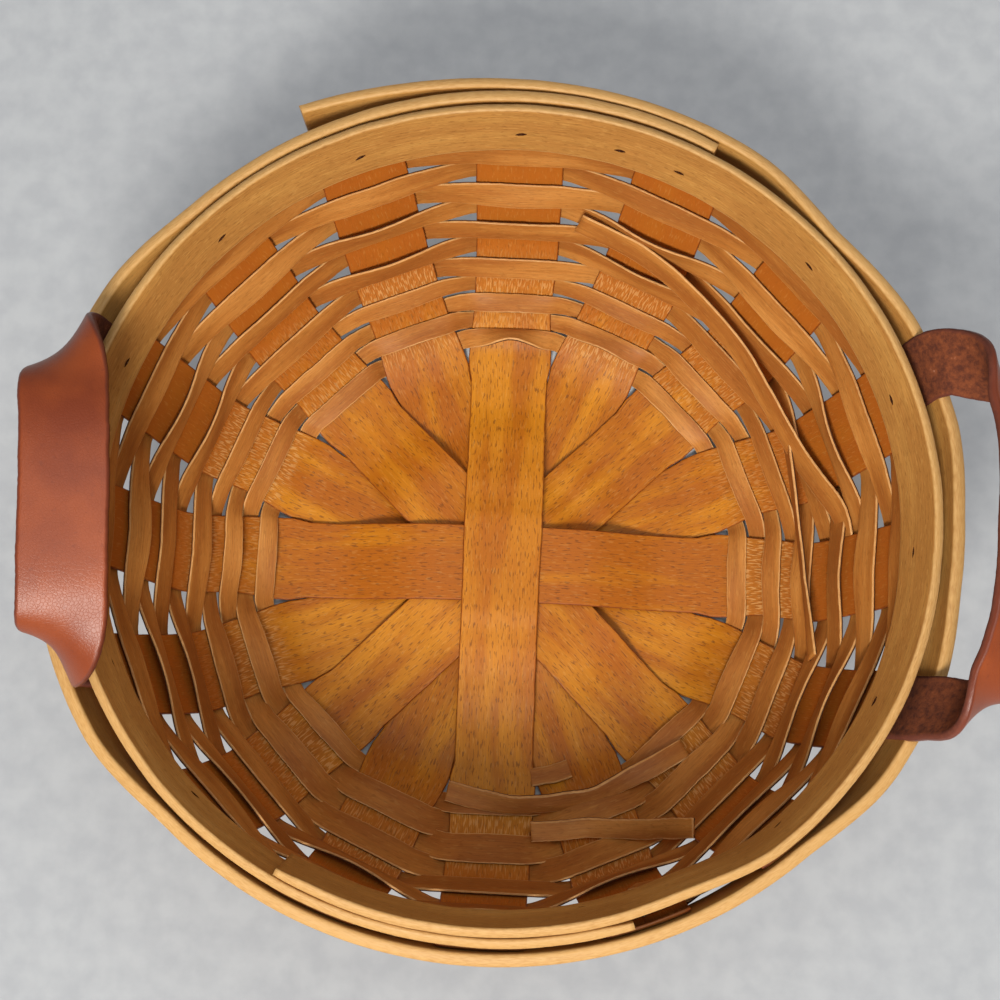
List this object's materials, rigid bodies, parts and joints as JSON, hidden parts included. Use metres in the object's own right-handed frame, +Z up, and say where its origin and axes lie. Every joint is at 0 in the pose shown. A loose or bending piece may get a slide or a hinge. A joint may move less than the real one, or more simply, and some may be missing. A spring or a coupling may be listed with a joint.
{
  "type": "round woven splint basket with leather ears",
  "caption": "Small round basket woven from thin wood splints, with a clasped rim of bent wood bands and a leather ear handle at each side.",
  "frame": {"origin": "centre of the basket on the underside of the flat base, where it rests", "axes": "+Z up, +X towards the right ear, +Y towards the far side of the rim as the picture shows it"},
  "size_m": [0.2091, 0.185, 0.0945],
  "materials": {
    "base_splint_wood": "stained thin maple splint, satin, golden brown",
    "weaver_wood": "stained thin maple splint with rough cut edges, satin",
    "band_wood": "stained bent maple band, smooth satin, lighter cut edges",
    "ear_leather": "vegetable tanned strap leather, waxed reddish brown grain side, rough flesh side",
    "tack_steel": "dull dark blued steel"
  },
  "bodies": {
    "basket": {"base_splint_1": "base_splint_wood", "base_splint_2": "base_splint_wood", "base_splint_3": "base_splint_wood", "base_splint_4": "base_splint_wood", "base_splint_5": "base_splint_wood", "base_splint_6": "base_splint_wood", "base_splint_7": "base_splint_wood", "base_splint_8": "base_splint_wood", "weaver_row_01": "weaver_wood", "weaver_row_02": "weaver_wood", "weaver_row_03": "weaver_wood", "weaver_row_04": "weaver_wood", "weaver_row_05": "weaver_wood", "weaver_row_06": "weaver_wood", "weaver_row_07": "weaver_wood", "weaver_row_08": "weaver_wood", "weaver_row_09": "weaver_wood", "weaver_row_10": "weaver_wood", "weaver_row_11": "weaver_wood", "rim_filler_row": "weaver_wood", "inner_rim_band": "band_wood", "outer_rim_band": "band_wood", "loose_weaver_long": "weaver_wood", "loose_weaver_thin": "weaver_wood", "loose_weaver_near": "weaver_wood", "weaver_tip_base": "weaver_wood", "left_ear_far_tab": "ear_leather", "left_ear_near_tab": "ear_leather", "right_ear_far_tab": "ear_leather", "right_ear_near_tab": "ear_leather", "rim_tack_01": "tack_steel", "rim_tack_02": "tack_steel", "rim_tack_03": "tack_steel", "rim_tack_04": "tack_steel", "rim_tack_05": "tack_steel", "rim_tack_06": "tack_steel", "rim_tack_07": "tack_steel", "rim_tack_08": "tack_steel", "rim_tack_09": "tack_steel", "rim_tack_10": "tack_steel", "rim_tack_11": "tack_steel", "rim_tack_12": "tack_steel", "rim_tack_13": "tack_steel", "rim_tack_14": "tack_steel", "rim_tack_15": "tack_steel", "rim_tack_16": "tack_steel", "rim_tack_17": "tack_steel", "rim_tack_18": "tack_steel"},
    "left_ear": {"left_ear_strap": "ear_leather"},
    "right_ear": {"right_ear_strap": "ear_leather"}
  },
  "joints": [
    {"name": "left_ear_flex", "type": "hinge", "parent": "basket", "child": "left_ear", "pos_m": [-0.08873, 0, 0.06925], "axis": [0, -1, 0], "range_deg": [-22, 78], "stiffness_Nm_per_rad": 0.05},
    {"name": "right_ear_flex", "type": "hinge", "parent": "basket", "child": "right_ear", "pos_m": [0.08873, 0, 0.06925], "axis": [0, 1, 0], "range_deg": [-70, 30], "stiffness_Nm_per_rad": 0.05}
  ]
}
